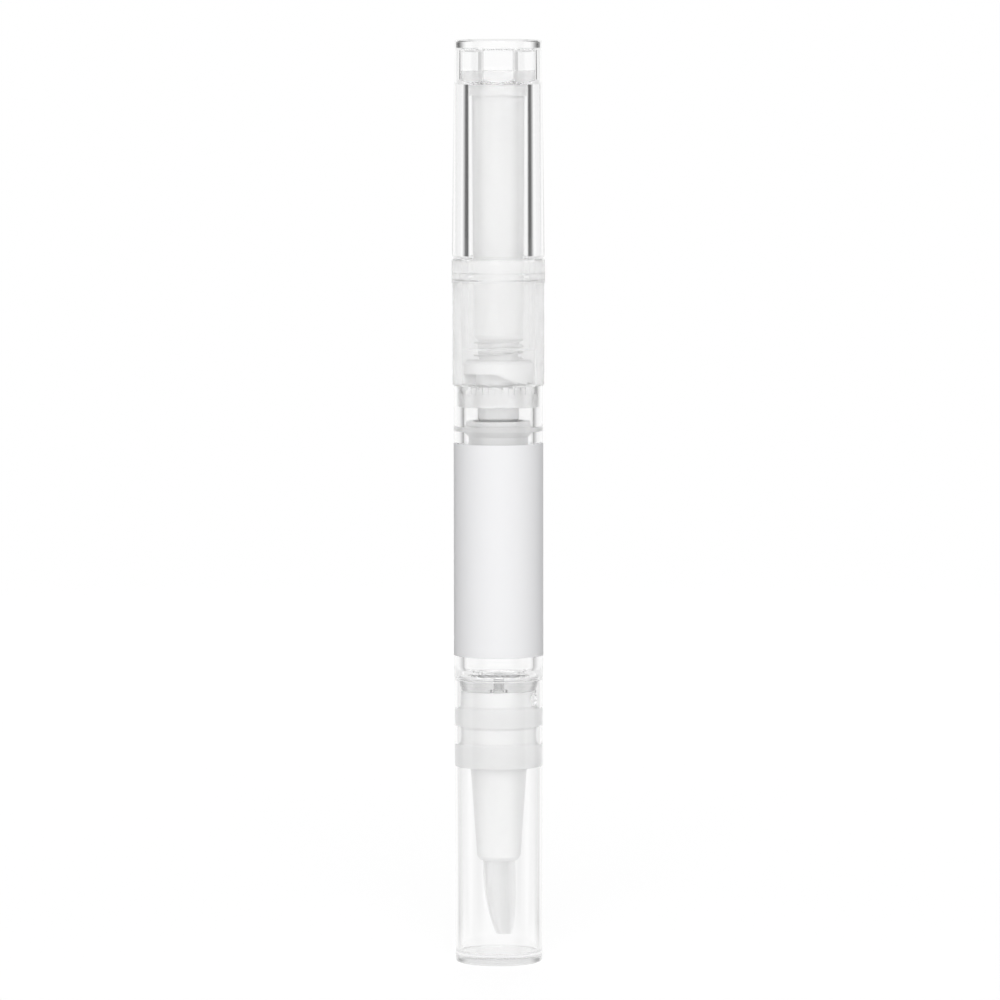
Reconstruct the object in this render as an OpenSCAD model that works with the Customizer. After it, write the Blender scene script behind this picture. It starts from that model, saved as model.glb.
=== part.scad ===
// Nail oil pen: a clear twist pen with a brush, standing on its cap.
// Millimetres, +Z up along the pen, origin at the middle of the cap's base.

/* [Cap] */
// Height of the cap from its closed base to its open mouth
cap_h = 38.23; // [37.5:0.1:44]
// Outer diameter at the mouth
cap_mouth_d = 11.9; // [11.7:0.05:12.4]
// Outer diameter above the base corner
cap_base_d = 11.6; // [11.3:0.05:12.2]
// Thickness of the closed base
cap_floor_t = 1.3; // [0.8:0.05:1.8]
// Inner diameter at the foot of the cavity
cap_foot_bore_d = 10.5; // [10:0.05:10.7]
// Radius of the rounded outer corner at the base
cap_corner_r = 0.3; // [0.2:0.05:1.2]
// Radius of the rounded inner corner at the base
cap_inner_r = 0.4; // [0.2:0.05:0.6]
// Bevel inside the mouth
cap_lip = 0.15; // [0.05:0.05:0.25]

/* [Barrel] */
// Outer diameter of the barrel
barrel_d = 12; // [11.9:0.05:12.2]
// Height of the full-width barrel above the cap's mouth
barrel_h = 39.25; // [37:0.25:50]
// Diameter of the oil bore
bore_d = 9.3; // [9:0.05:9.4]
// Thickness of the floor over the neck
floor_t = 1.75; // [1.2:0.05:2.4]
// Radius in the corner between bore and floor
floor_r = 1.3; // [0.4:0.1:1.3]
// Height of the stepped shoulder that the cap covers
shoulder_h = 1.6; // [1.2:0.05:2.2]
// Height of the straight band of that shoulder
shoulder_band_h = 0.45; // [0.3:0.05:0.8]
// Diameter of that band
shoulder_d = 10.6; // [10.2:0.05:10.65]
// Bevel of the barrel's two rims
barrel_bevel = 0.15; // [0.05:0.05:0.3]
// Outer diameter of the neck inside the nozzle
neck_d = 8.1; // [7.6:0.05:8.4]
// Length of that neck
neck_h = 5.2; // [4.6:0.1:6]
// Wall of that neck
neck_wall = 1.2; // [0.8:0.05:1.6]
// Diameter of the two snap studs on the neck
stud_d = 1.8; // [1.2:0.05:2]
// Depth of the studs' middle under the shoulder
stud_drop = 1.15; // [1.1:0.05:1.5]
// Reach of the studs from the pen's axis
stud_reach = 5.2; // [5:0.05:5.25]

/* [Label] */
// Height of the label film
label_h = 28.5; // [20:0.5:32]
// Thickness of the label film
label_t = 0.12; // [0.08:0.01:0.2]
// Clear height of barrel under the label
label_up = 3.05; // [1:0.05:5]

/* [Nozzle] */
// Diameter of the collar round the neck
collar_d = 10.1; // [9.4:0.05:10.2]
// Height of that collar
collar_h = 2.15; // [2.1:0.05:3.2]
// Diameter of the two sealing beads
bead_d = 10.7; // [10.4:0.05:10.8]
// Height of the upper bead
bead_h = 2.9; // [2:0.05:3]
// Rise of the beads' sloped edges
bead_slope = 0.3; // [0.2:0.05:0.8]
// Diameter of the waist between the beads
waist_d = 10.1; // [9.5:0.05:10.2]
// Height of that waist
waist_h = 2; // [1.8:0.05:3.2]
// Height of the lower bead's straight rim
flange_h = 3; // [1:0.05:3.2]
// Diameter of the cone under the lower bead
cone_d = 7.54; // [7:0.02:8.2]
// Diameter of the cone above its bevelled tip
cone_tip_d = 5.8; // [5.4:0.05:6.2]
// Height of the cone
cone_h = 12.1; // [9:0.1:13]
// Height of the bevelled tip
tip_bevel_h = 0.55; // [0.3:0.05:0.8]
// Diameter of the tip's end face
tip_face_d = 5; // [4.8:0.05:5.4]
// Diameter of the tuft's bore in the tip
tip_bore_d = 4.4; // [4.3:0.05:4.6]
// Thickness of the web between neck socket and cone
web_t = 1.3; // [0.8:0.05:1.8]
// Diameter of the hollow cone where it meets the web
web_cone_d = 4; // [3:0.05:4.4]

/* [Brush] */
// Gap between the tuft's cut end and the floor of the cap
tuft_clear = 2.4; // [1:0.05:4]
// Diameter of the tuft where it leaves the nozzle
tuft_d = 4.2; // [3.8:0.05:4.25]
// Number of bristles
bristles = 300; // [300:10:400]
// Thickness of a bristle at its root
bristle_d = 0.15; // [0.1:0.01:0.16]
// Thickness of the fused root disc
root_t = 0.8; // [0.5:0.05:1.2]
// Depth of the root disc inside the tip
root_depth = 1.15; // [0.8:0.05:2]
// Bend of the tuft's tip to one side
tuft_bend = 0.4; // [0:0.05:0.8]
// Hollow in the cut end of the tuft
tuft_hollow = 0.25; // [0:0.05:0.5]
// Height of the ferrule over the root disc
ferrule_h = 3.8; // [3:0.1:5]
// Outer diameter of the feed tube
feed_d = 1.5; // [1.2:0.05:1.8]
// Bore of the feed tube
feed_bore_d = 0.9; // [0.5:0.05:1]
// Depth that the feed tube enters ferrule and floor
feed_seat = 0.5; // [0.3:0.05:1.1]

/* [Piston] */
// Length of the piston
piston_h = 7.7; // [6.5:0.1:9]
// Depth of the piston's rim under the ratchet ring
piston_drop = 1.9; // [1.8:0.05:2.6]
// Height of each sealing lip
piston_lip_h = 0.8; // [0.5:0.05:1.2]
// Diameter of the piston's waist
piston_waist_d = 8; // [7.6:0.05:8.4]
// Diameter of the rim above the upper lip
piston_rim_d = 8.6; // [8.2:0.05:8.8]
// Height of that rim
piston_rim_h = 0.7; // [0.4:0.05:1]
// Diameter of the cup in the piston's top
piston_cup_d = 6.8; // [6.4:0.05:7.2]
// Thickness of the piston's crown
piston_crown_t = 1.3; // [0.8:0.05:1.8]
// Space left under the piston at the end of its stroke
end_gap = 0.7; // [0.5:0.05:1.5]

/* [Screw rod] */
// Diameter of the rod
rod_d = 3.8; // [3.2:0.05:4]
// Width across the rod's two flats
rod_flat_w = 2.7; // [2.4:0.05:2.9]
// Diameter of the snap foot
rod_foot_d = 3.4; // [3:0.05:3.6]
// Height of the snap foot
rod_foot_h = 1; // [0.7:0.05:1.4]
// Diameter of the neck over the foot
rod_neck_d = 2.4; // [2:0.05:2.6]
// Height of that neck
rod_neck_h = 0.8; // [0.6:0.05:1.2]
// Length of rod that stays in the rotor at full stroke
rod_grip = 1.8; // [1:0.1:3]

/* [Nut and ratchet] */
// Height of the ratchet ring with its teeth
ring_h = 2.8; // [2.6:0.05:3.4]
// Outer diameter of the ring over its splines
ring_d = 9.6; // [9.5:0.05:9.7]
// Depth of the ring's splines
spline_t = 0.25; // [0.15:0.05:0.35]
// Height of the splines at the top of the ring
spline_h = 0.6; // [0.4:0.05:1]
// Number of splines and of face teeth
teeth = 18; // [16:1:30]
// Height of the face teeth
tooth_h = 0.45; // [0.3:0.05:0.6]
// Inner diameter of the face teeth
tooth_bore_d = 6.6; // [6.2:0.05:7]
// Width over the corners of the nut's hexagonal head
nut_head_d = 7.4; // [6.8:0.05:7.8]
// Thickness of that head
nut_head_t = 1.3; // [1:0.05:1.6]
// Diameter of the nut's snout and neck
nut_d = 5.6; // [5.2:0.05:5.9]
// Diameter of the snout's end
snout_tip_d = 4.6; // [4.4:0.05:5]
// Length of the snout
snout_h = 2.1; // [1.6:0.05:2.2]
// Outer diameter of the rotor
rotor_d = 9.4; // [9:0.05:9.7]
// Height of the rotor
rotor_h = 3.25; // [2.8:0.05:3.8]
// Height of the windows beside the pawls
window_h = 1.5; // [1:0.05:1.6]
// Bevel round the rotor's top
rotor_bevel = 0.4; // [0.2:0.05:0.6]
// Diameter of the rotor's hub
hub_d = 6.1; // [5.9:0.05:6.4]
// Gap between the pawls and the crests of the face teeth
ratchet_gap = 0.15; // [0.1:0.05:0.3]

/* [Spring] */
// Space for the spring between rotor and sleeve
spring_h = 2.95; // [2.4:0.05:3.6]
// Wire thickness of the spring
wire_d = 0.3; // [0.2:0.02:0.34]
// Mean diameter of the coils
coil_d = 6.4; // [6.2:0.05:6.5]
// Number of coils
coils = 3; // [2:1:3]

/* [Housing] */
// Outer diameter of the middle sleeve
housing_d = 12.3; // [12.2:0.05:12.5]
// Height of the middle sleeve with its collar
housing_h = 17; // [15:0.1:20]
// Diameter of the collar at its top
housing_collar_d = 12.5; // [12.35:0.05:12.8]
// Height of that collar
housing_collar_h = 3.2; // [2.4:0.1:4]
// Bevel of the collar's edges
housing_bevel = 0.25; // [0.1:0.05:0.4]
// Outer diameter of the spigot in the barrel's mouth
spigot_d = 10.76; // [10.6:0.02:10.9]

/* [Knob] */
// Height of the knob above the housing
knob_h = 27.78; // [24:0.1:34]
// Diameter at the knob's foot
knob_low_d = 12.44; // [12.2:0.02:12.8]
// Diameter at the knob's top
knob_top_d = 11.76; // [11.4:0.02:12.2]
// Diameter of the knob's bore
knob_bore_d = 8.1; // [8:0.05:8.5]
// Width over the corners of the eight-sided socket
socket_d = 9.26; // [9.1:0.02:9.6]
// Gap between the rotor and the knob's bearing tube inside the housing
bearing_clear = 1.42; // [1.2:0.02:2.6]
// Diameter of that tube
bearing_d = 10; // [9.8:0.05:10.1]
// Reach of the snap rib round it
snap_t = 0.16; // [0.1:0.02:0.2]
// Height of that snap rib
snap_h = 0.9; // [0.6:0.05:1.2]
// Depth of the snap rib's middle under the housing's top
snap_drop = 2.4; // [1.6:0.1:3]
// Rounding of the knob's edges
knob_bevel = 0.15; // [0.05:0.05:0.3]
// Diameter of the end plug
plug_d = 11.7; // [11.3:0.05:12]
// Thickness of the end plug
plug_t = 1.5; // [1:0.05:2]
// Rounding of the end plug's rim
plug_edge_r = 0.4; // [0.2:0.05:0.5]
// Rise of the end plug's crown
plug_dome = 0.2; // [0.1:0.05:0.3]
// Diameter of the boss under the end plug
boss_d = 7.7; // [7:0.05:7.8]
// Height of that boss
boss_h = 0.4; // [0.2:0.05:0.8]

/* [Drive sleeve] */
// Outer diameter of the sleeve at its foot
sleeve_d = 6.62; // [6.5:0.02:7]
// Draft of the sleeve, on its radius, from foot to band
sleeve_draft = 0.2; // [0:0.02:0.3]
// Wall of the sleeve
sleeve_wall = 0.75; // [0.6:0.05:0.9]
// Height of the eight-sided head
head_h = 1.15; // [0.8:0.05:1.6]
// Height of the conical seat under the head
seat_h = 0.65; // [0.4:0.05:0.9]
// Height of the band that centres the sleeve in the knob's bore
band_h = 1.5; // [1:0.05:2.2]
// Gap between that band and the bore
band_gap = 0.2; // [0.05:0.05:0.3]
// Empty height of the socket over the head
socket_free_h = 2.9; // [1.5:0.1:4]
// Thickness of the closed head
head_t = 1.2; // [0.8:0.05:1.8]
// Widening of the sleeve's tail inside the spring, on its radius
tail_flare = 0.2; // [0.1:0.05:0.2]
// Diameter of the sleeve's tail
tail_d = 5.2; // [5:0.05:5.3]
// Width across the tail's two flats
tail_flat_w = 4.5; // [4.3:0.05:4.7]
// Depth of the tail in the rotor
tail_seat = 1.35; // [1:0.05:1.5]
// Height of the cone over the tail
tail_cone_h = 0.5; // [0.3:0.05:0.8]

/* [Fits] */
// Gap between pieces that are pressed or snapped together
seat_gap = 0.03; // [0.02:0.005:0.04]
// Radial gap of a turning or sliding fit
run_gap = 0.05; // [0.04:0.005:0.08]
// Gap between faces that turn or slide past each other
turn_gap = 0.12; // [0.1:0.01:0.2]

/* [Hidden] */
$fn = 96;
// Overrun of every cut past the face that it leaves
cut = 0.5;
// Steps in a rounded corner
arc_steps = 6;
// Direction of the first snap stud, the other is opposite
stud_angle = -27;
// Turn between neighbouring bristles on their spiral
golden_angle = 137.508;
// Sides of a bristle and of the spring's wire
bristle_sides = 3;
wire_sides = 6;
// Rings of the spring's tube in one coil
rings_per_coil = 12;
// Heights along the bristles from root to cut end, and the tuft's width and bend there
tuft_level_shares = [0, 0.5, 0.767, 1];
tuft_width_shares = [1, 0.97, 0.79, 0.47];
tuft_bend_shares = [0, 0.12, 0.5, 1];
// Width of a spline on its pitch
spline_share = 0.5;
// Ramp of a pawl: places across the rotor's radius, and heights in the window
ramp_x_shares = [-0.06, 0.26, 0.55];
ramp_z_shares = [1, 0.5, 0];

// Heights up the pen
z_barrel = cap_h + turn_gap;
z_shoulder = z_barrel - shoulder_h;
z_floor = z_shoulder + floor_t;
z_feed_top = z_shoulder + feed_seat;
z_label = z_barrel + label_up;
z_label_top = z_label + label_h;
z_mouth = z_barrel + barrel_h;
z_neck_end = z_shoulder - neck_h;
z_stud = z_shoulder - stud_drop;
z_nozzle_top = z_shoulder - seat_gap;
z_bead_top = z_shoulder - collar_h;
z_bead = z_bead_top - bead_h;
z_flange_top = z_bead - waist_h;
z_cone_top = z_flange_top - flange_h - bead_slope;
z_cone = z_cone_top - cone_h;
z_tip = z_cone - tip_bevel_h;
z_tuft = cap_floor_t + tuft_clear;
z_root = z_tip + root_depth;
z_ferrule = z_root + root_t + seat_gap;
z_ferrule_top = z_ferrule + ferrule_h;
z_web_top = z_neck_end - seat_gap;
z_web = z_web_top - web_t;
z_ring = z_mouth - ring_h;
z_ring_top = z_mouth - tooth_h;
z_spline = z_ring_top - spline_h;
z_nut_head = z_ring + seat_gap;
z_snout = z_ring - snout_h;
z_piston_top = z_ring - piston_drop;
z_piston = z_piston_top - piston_h;
z_foot = z_piston + piston_crown_t + seat_gap;
z_foot_top = z_foot + rod_foot_h;
z_rod = z_foot_top + rod_neck_h;
z_cup = z_rod - seat_gap;
z_rotor = z_mouth + ratchet_gap;
z_rotor_top = z_rotor + rotor_h;
z_window = z_rotor + window_h;
z_tail = z_rotor_top - tail_seat;
z_tail_top = z_rotor_top + spring_h;
z_housing_top = z_mouth + housing_h;
z_collar = z_housing_top - housing_collar_h;
z_snap = z_housing_top - snap_drop;
z_knob = z_housing_top + turn_gap;
z_bearing = z_rotor_top + bearing_clear;
z_knob_top = z_knob + knob_h;
z_head_top = z_knob_top - socket_free_h;
z_head = z_head_top - head_h;
z_seat = z_head - seat_h;
z_sleeve_top = z_seat - band_h;
z_plug = z_knob_top + seat_gap;

// Travel of the piston, and the top of the rod that follows from it
stroke = z_piston - z_floor - end_gap;
z_rod_top = z_rotor_top + rod_grip + stroke;

// Bores that follow from what runs or sits in them
cap_bore_r = bead_d / 2 + run_gap;
neck_bore_r = neck_d / 2 - neck_wall;
channel_r = feed_d / 2 + seat_gap;
label_seat_r = barrel_d / 2 - label_t - seat_gap;
spigot_seat_r = spigot_d / 2 + seat_gap;
bearing_bore_r = bearing_d / 2 + run_gap;
nut_bore_r = rod_d / 2 + run_gap;
ring_body_r = ring_d / 2 - spline_t - run_gap;
sleeve_bore_r = sleeve_d / 2 - sleeve_wall;
tail_bore_r = rod_d / 2 + 2 * run_gap;
piston_r = bore_d / 2 - run_gap;

// Points of a rounded corner round a centre, from one angle to another
function corner(x, z, r, from, to) = [
    for (i = [0:arc_steps])
        let (a = from + (to - from) * i / arc_steps)
        [x + r * cos(a), z + r * sin(a)]
];

// Outline of a splined ring, with the splines widened by a gap on each flank
function spline_points(tip_r, root_r, gap) = [
    for (i = [0:teeth - 1], side = [-1, 1], step = [0, 1])
        let (
            half = 90 * spline_share / teeth * 2 + gap / root_r * 180 / PI,
            pitch = 360 / teeth,
            out = side < 0 ? step == 1 : step == 0,
            a = i * pitch + side * half,
            r = out ? tip_r : root_r
        )
        [r * cos(a), r * sin(a)]
];

// Solid of revolution from points of radius and height
module turned(points) {
    rotate_extrude() polygon(points);
}

module tube(outer_r, inner_r, z, top) {
    turned([[inner_r, z], [outer_r, z], [outer_r, top], [inner_r, top]]);
}

// Plug that cuts a round hole between two heights, with an overrun at each end
module hole(r, z, top) {
    translate([0, 0, z - cut]) cylinder(r = r, h = top - z + 2 * cut);
}

// Round bar cut to two flats, for a key or for its keyhole
module flatted(r, flat_w, z, top) {
    intersection() {
        translate([0, 0, z]) cylinder(r = r, h = top - z);
        translate([-r, -flat_w / 2, z]) cube([2 * r, flat_w, top - z]);
    }
}

// Prism with a number of sides, one of them to the front
module prism(sides, corner_d, z, top) {
    translate([0, 0, z]) rotate([0, 0, 180 / sides - 90])
        cylinder(d = corner_d, h = top - z, $fn = sides);
}

// Ring of saw teeth that rise from a height and root under it, steep side clockwise from above
module saw_teeth(inner_r, outer_r, z) {
    width = 2 * outer_r * tan(180 / teeth);
    intersection() {
        tube(outer_r, inner_r, z - cut, z + tooth_h + cut);
        union() {
            for (i = [0:teeth - 1]) {
                rotate([0, 0, i * 360 / teeth]) rotate([90, 0, 90])
                    linear_extrude(height = outer_r + cut)
                        polygon([
                            [0, z - tooth_h], [width, z - tooth_h], [width, z], [0, z + tooth_h]
                        ]);
            }
        }
    }
}

module cap() {
    foot_r = cap_foot_bore_d / 2;
    color("white", 0.25)
    turned(concat(
        [[0, 0]],
        corner(cap_base_d / 2 - cap_corner_r, cap_corner_r, cap_corner_r, -90, 0),
        [
            [cap_mouth_d / 2, cap_h],
            [cap_bore_r + cap_lip, cap_h],
            [cap_bore_r, cap_h - cap_lip],
            [cap_bore_r, z_cone_top - cap_lip],
        ],
        corner(foot_r - cap_inner_r, cap_floor_t + cap_inner_r, cap_inner_r, 0, -90),
        [[0, cap_floor_t]]
    ));
}

// Snap stud: a round bar that ends in a dome, or its hole in the nozzle's collar
module stud(angle, gap) {
    rotate([0, 0, angle]) translate([neck_bore_r + neck_wall / 2, 0, z_stud])
        rotate([0, 90, 0]) cylinder(r = stud_d / 2 + gap, h = stud_reach);
}

module barrel() {
    outer_r = barrel_d / 2;
    bore_r = bore_d / 2;
    color("white", 0.25)
    union() {
        turned(concat(
            [
                [neck_bore_r, z_neck_end],
                [neck_d / 2 - barrel_bevel, z_neck_end],
                [neck_d / 2, z_neck_end + barrel_bevel],
                [neck_d / 2, z_shoulder],
                [collar_d / 2, z_shoulder],
                [shoulder_d / 2, z_barrel - shoulder_band_h],
                [shoulder_d / 2, z_barrel],
                [outer_r - barrel_bevel, z_barrel],
                [outer_r, z_barrel + barrel_bevel],
                [outer_r, z_label - seat_gap],
                [label_seat_r, z_label - seat_gap],
                [label_seat_r, z_label_top + seat_gap],
                [outer_r, z_label_top + seat_gap],
                [outer_r, z_mouth],
                [spigot_seat_r, z_mouth],
                [spigot_seat_r, z_ring],
                [bore_r, z_ring],
            ],
            corner(bore_r - floor_r, z_floor + floor_r, floor_r, 0, -90),
            [
                [feed_bore_d / 2, z_floor],
                [feed_bore_d / 2, z_feed_top + seat_gap],
                [channel_r, z_feed_top + seat_gap],
                [channel_r, z_shoulder],
                [neck_bore_r, z_shoulder],
            ]
        ));
        for (angle = [stud_angle, stud_angle + 180]) {
            intersection() {
                stud(angle, 0);
                translate([0, 0, z_stud]) sphere(r = stud_reach);
            }
        }
    }
}

module label_sleeve() {
    color("white") tube(barrel_d / 2, barrel_d / 2 - label_t, z_label, z_label_top);
}

module nozzle() {
    collar_r = collar_d / 2;
    bead_r = bead_d / 2;
    socket_r = neck_d / 2 + seat_gap;
    bore_r = tip_bore_d / 2;
    color("white")
    difference() {
        turned([
            [bore_r, z_tip],
            [tip_face_d / 2, z_tip],
            [cone_tip_d / 2, z_cone],
            [cone_d / 2, z_cone_top],
            [bead_r, z_cone_top],
            [bead_r, z_cone_top + flange_h],
            [waist_d / 2, z_flange_top],
            [waist_d / 2, z_bead],
            [bead_r, z_bead + bead_slope],
            [bead_r, z_bead_top - bead_slope],
            [collar_r, z_bead_top],
            [collar_r, z_nozzle_top],
            [socket_r, z_nozzle_top],
            [socket_r, z_web_top],
            [channel_r, z_web_top],
            [channel_r, z_web],
            [web_cone_d / 2, z_web],
            [bore_r, z_ferrule_top + seat_gap],
        ]);
        for (angle = [stud_angle, stud_angle + 180]) {
            stud(angle, seat_gap);
        }
    }
}

module feed_tube() {
    color("white")
    tube(
        feed_d / 2, feed_bore_d / 2,
        z_ferrule_top - feed_seat + seat_gap, z_feed_top
    );
}

module brush_ferrule() {
    outer_r = tip_bore_d / 2 - seat_gap;
    color("gainsboro")
    turned([
        [feed_bore_d / 2, z_ferrule],
        [outer_r, z_ferrule],
        [outer_r, z_ferrule_top],
        [channel_r, z_ferrule_top],
        [channel_r, z_ferrule_top - feed_seat],
        [feed_bore_d / 2, z_ferrule_top - feed_seat],
    ]);
}

// Heights, widths and sideways places of the tuft from its root to its cut end
tuft_root_z = z_root + root_t / 2;
tuft_len = tuft_root_z - z_tuft;
tuft_z = [for (s = tuft_level_shares) tuft_root_z - s * tuft_len];
tuft_widths = [for (i = [3:-1:0]) [tuft_z[i], tuft_width_shares[i]]];
tuft_bends = [for (i = [3:-1:0]) [tuft_z[i], tuft_bend * tuft_bend_shares[i]]];

// Place of a bristle at the root on a spiral, and the height of its cut end
function root_place(i) =
    (tuft_d - bristle_d) / 2 * sqrt((i + 0.5) / bristles)
    * [cos(i * golden_angle), sin(i * golden_angle)];
function end_z(i) =
    z_tuft + tuft_hollow * (1 - i / bristles) * (0.7 + 0.3 * sin(i * golden_angle * 7));

// One ring of one bristle: all widths shrink alike, so bristles never cross
function bristle_ring(i, z) = [
    for (k = [0:bristle_sides - 1])
        let (
            w = lookup(z, tuft_widths),
            a = 360 * k / bristle_sides + i * golden_angle,
            p = root_place(i) * w + bristle_d / 2 * w * [cos(a), sin(a)]
        )
        [p[0] + lookup(z, tuft_bends), p[1], z]
];

// Triangles of a tube of rings that starts at a point number, closed at both ends
function tube_faces(start, rings, sides) = concat(
    [
        for (j = [0:rings - 2], k = [0:sides - 1], half = [0, 1])
            let (
                a = start + j * sides + k,
                b = start + j * sides + (k + 1) % sides
            )
            half == 0 ? [a, b, a + sides] : [b, b + sides, a + sides]
    ],
    [for (k = [1:sides - 2]) [start, start + k + 1, start + k]],
    [
        for (k = [1:sides - 2])
            let (last = start + (rings - 1) * sides)
            [last, last + k, last + k + 1]
    ]
);

module bristle_tuft() {
    levels = len(tuft_z);
    points = [
        for (i = [0:bristles - 1], j = [0:levels - 1])
            each bristle_ring(i, j < levels - 1 ? tuft_z[j] : end_z(i))
    ];
    faces = [
        for (i = [0:bristles - 1])
            each tube_faces(i * levels * bristle_sides, levels, bristle_sides)
    ];
    color("gainsboro")
    union() {
        polyhedron(points = points, faces = faces);
        translate([0, 0, z_root]) cylinder(r = tip_bore_d / 2 - seat_gap, h = root_t);
    }
}

module piston() {
    waist_r = piston_waist_d / 2;
    rim_z = z_piston_top - piston_rim_h;
    slope = piston_r - waist_r;
    color("whitesmoke")
    turned([
        [0, z_piston],
        [piston_r - slope / 2, z_piston],
        [piston_r, z_piston + slope / 2],
        [piston_r, z_piston + slope / 2 + piston_lip_h],
        [waist_r, z_piston + slope * 3 / 2 + piston_lip_h],
        [waist_r, rim_z - piston_lip_h - slope],
        [piston_r, rim_z - piston_lip_h],
        [piston_r, rim_z],
        [piston_rim_d / 2, rim_z],
        [piston_rim_d / 2, z_piston_top],
        [piston_cup_d / 2, z_piston_top],
        [piston_cup_d / 2, z_cup],
        [rod_neck_d / 2 + run_gap, z_cup],
        [rod_neck_d / 2 + run_gap, z_foot_top + seat_gap],
        [rod_foot_d / 2 + run_gap, z_foot_top + seat_gap],
        [rod_foot_d / 2 + run_gap, z_foot - seat_gap],
        [0, z_foot - seat_gap],
    ]);
}

module screw_rod() {
    color("white")
    union() {
        translate([0, 0, z_foot]) cylinder(d = rod_foot_d, h = rod_foot_h);
        translate([0, 0, z_foot]) cylinder(d = rod_neck_d, h = z_rod - z_foot + seat_gap);
        flatted(rod_d / 2, rod_flat_w, z_rod, z_rod_top);
    }
}

module thread_nut() {
    head_top = z_nut_head + nut_head_t;
    color("white")
    difference() {
        union() {
            turned([
                [0, z_snout],
                [snout_tip_d / 2, z_snout],
                [nut_d / 2 - seat_gap, z_snout + (nut_d - snout_tip_d) / 2],
                [nut_d / 2, z_nut_head],
                [nut_d / 2, head_top],
                [nut_d / 2 - seat_gap, head_top],
                [nut_d / 2 - seat_gap, z_ring_top],
                [0, z_ring_top],
            ]);
            prism(6, nut_head_d, z_nut_head, head_top);
        }
        hole(nut_bore_r, z_snout, z_ring_top);
    }
}

module ratchet_ring() {
    tip_r = ring_d / 2;
    color("white")
    difference() {
        union() {
            translate([0, 0, z_spline]) linear_extrude(height = z_ring_top - z_spline)
                polygon(spline_points(tip_r, tip_r - spline_t, 0));
            translate([0, 0, z_nut_head])
                cylinder(r = ring_body_r, h = z_spline - z_nut_head + spline_h / 2);
            saw_teeth(tooth_bore_d / 2, tip_r - spline_t, z_ring_top);
        }
        hole(nut_d / 2 + seat_gap, z_nut_head, z_mouth);
        prism(6, nut_head_d + 2 * seat_gap, z_ring, z_nut_head + nut_head_t + seat_gap);
    }
}

module housing() {
    outer_r = housing_d / 2;
    collar_r = housing_collar_d / 2;
    groove_r = bearing_bore_r + snap_t;
    tip_r = ring_d / 2 + seat_gap;
    color("ghostwhite", 0.6)
    difference() {
        turned([
            [0, z_ring + seat_gap],
            [spigot_d / 2, z_ring + seat_gap],
            [spigot_d / 2, z_mouth + seat_gap],
            [outer_r - barrel_bevel, z_mouth + seat_gap],
            [outer_r, z_mouth + seat_gap + barrel_bevel],
            [outer_r, z_collar - (collar_r - outer_r)],
            [collar_r, z_collar],
            [collar_r, z_housing_top - housing_bevel],
            [collar_r - housing_bevel, z_housing_top],
            [bearing_bore_r, z_housing_top],
            [bearing_bore_r, z_snap + snap_h / 2 + turn_gap],
            [groove_r, z_snap + snap_h / 4 + turn_gap],
            [groove_r, z_snap - snap_h / 4 - turn_gap],
            [bearing_bore_r, z_snap - snap_h / 2 - turn_gap],
            [bearing_bore_r, z_mouth + seat_gap],
            [0, z_mouth + seat_gap],
        ]);
        hole(ring_body_r + seat_gap, z_ring, z_spline - cut);
        translate([0, 0, z_spline - seat_gap]) linear_extrude(height = z_mouth - z_spline + cut)
            polygon(spline_points(tip_r, tip_r - spline_t, seat_gap));
    }
}

// Window beside a pawl, as seen from the front: flat top, then the pawl's ramp
module rotor_window() {
    radius = rotor_d / 2;
    rotate([90, 0, 0]) linear_extrude(height = radius + cut)
        polygon(concat(
            [[-radius - cut, z_rotor - cut], [-radius - cut, z_window]],
            [
                for (i = [0:2])
                    [radius * ramp_x_shares[i], z_rotor + window_h * ramp_z_shares[i]]
            ],
            [[radius * ramp_x_shares[2], z_rotor - cut]]
        ));
}

module ratchet_rotor() {
    radius = rotor_d / 2;
    color("white")
    difference() {
        union() {
            difference() {
                turned([
                    [hub_d / 4, z_rotor],
                    [radius, z_rotor],
                    [radius, z_rotor_top - rotor_bevel],
                    [radius - rotor_bevel, z_rotor_top],
                    [hub_d / 4, z_rotor_top],
                ]);
                for (angle = [0, 180]) {
                    rotate([0, 0, angle]) rotor_window();
                }
                saw_teeth(hub_d / 2, radius + cut, z_rotor);
            }
            tube(hub_d / 2, hub_d / 4, z_rotor, z_rotor_top);
        }
        flatted(nut_bore_r, rod_flat_w + 2 * run_gap, z_rotor - cut, z_rotor_top + cut);
        flatted(
            tail_d / 2 + seat_gap, tail_flat_w + 2 * seat_gap,
            z_tail - seat_gap, z_rotor_top + cut
        );
    }
}

// Middle line of the spring's wire from its lower to its upper end
spring_rings = coils * rings_per_coil + 1;
spring_z = z_rotor_top + seat_gap + wire_d / 2;
spring_rise = spring_h - 2 * seat_gap - wire_d;
spring_line = [
    for (i = [0:spring_rings - 1])
        let (a = 360 * i / rings_per_coil)
        [
            coil_d / 2 * cos(a),
            coil_d / 2 * sin(a),
            spring_z + spring_rise * i / (spring_rings - 1)
        ]
];
spring_gap = min([
    for (i = [0:spring_rings - 1], j = [i + rings_per_coil / 2:spring_rings - 1])
        norm(spring_line[i] - spring_line[j])
]) - wire_d;
echo("least gap between the spring's coils", spring_gap);

module ratchet_spring() {
    points = [
        for (i = [0:spring_rings - 1], k = [0:wire_sides - 1])
            let (
                a = 360 * i / rings_per_coil,
                b = 360 * k / wire_sides,
                out = wire_d / 2 * cos(b),
                up = wire_d / 2 * sin(b)
            )
            spring_line[i] + [out * cos(a), out * sin(a), up]
    ];
    color("silver")
    polyhedron(points = points, faces = tube_faces(0, spring_rings, wire_sides));
}

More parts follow.
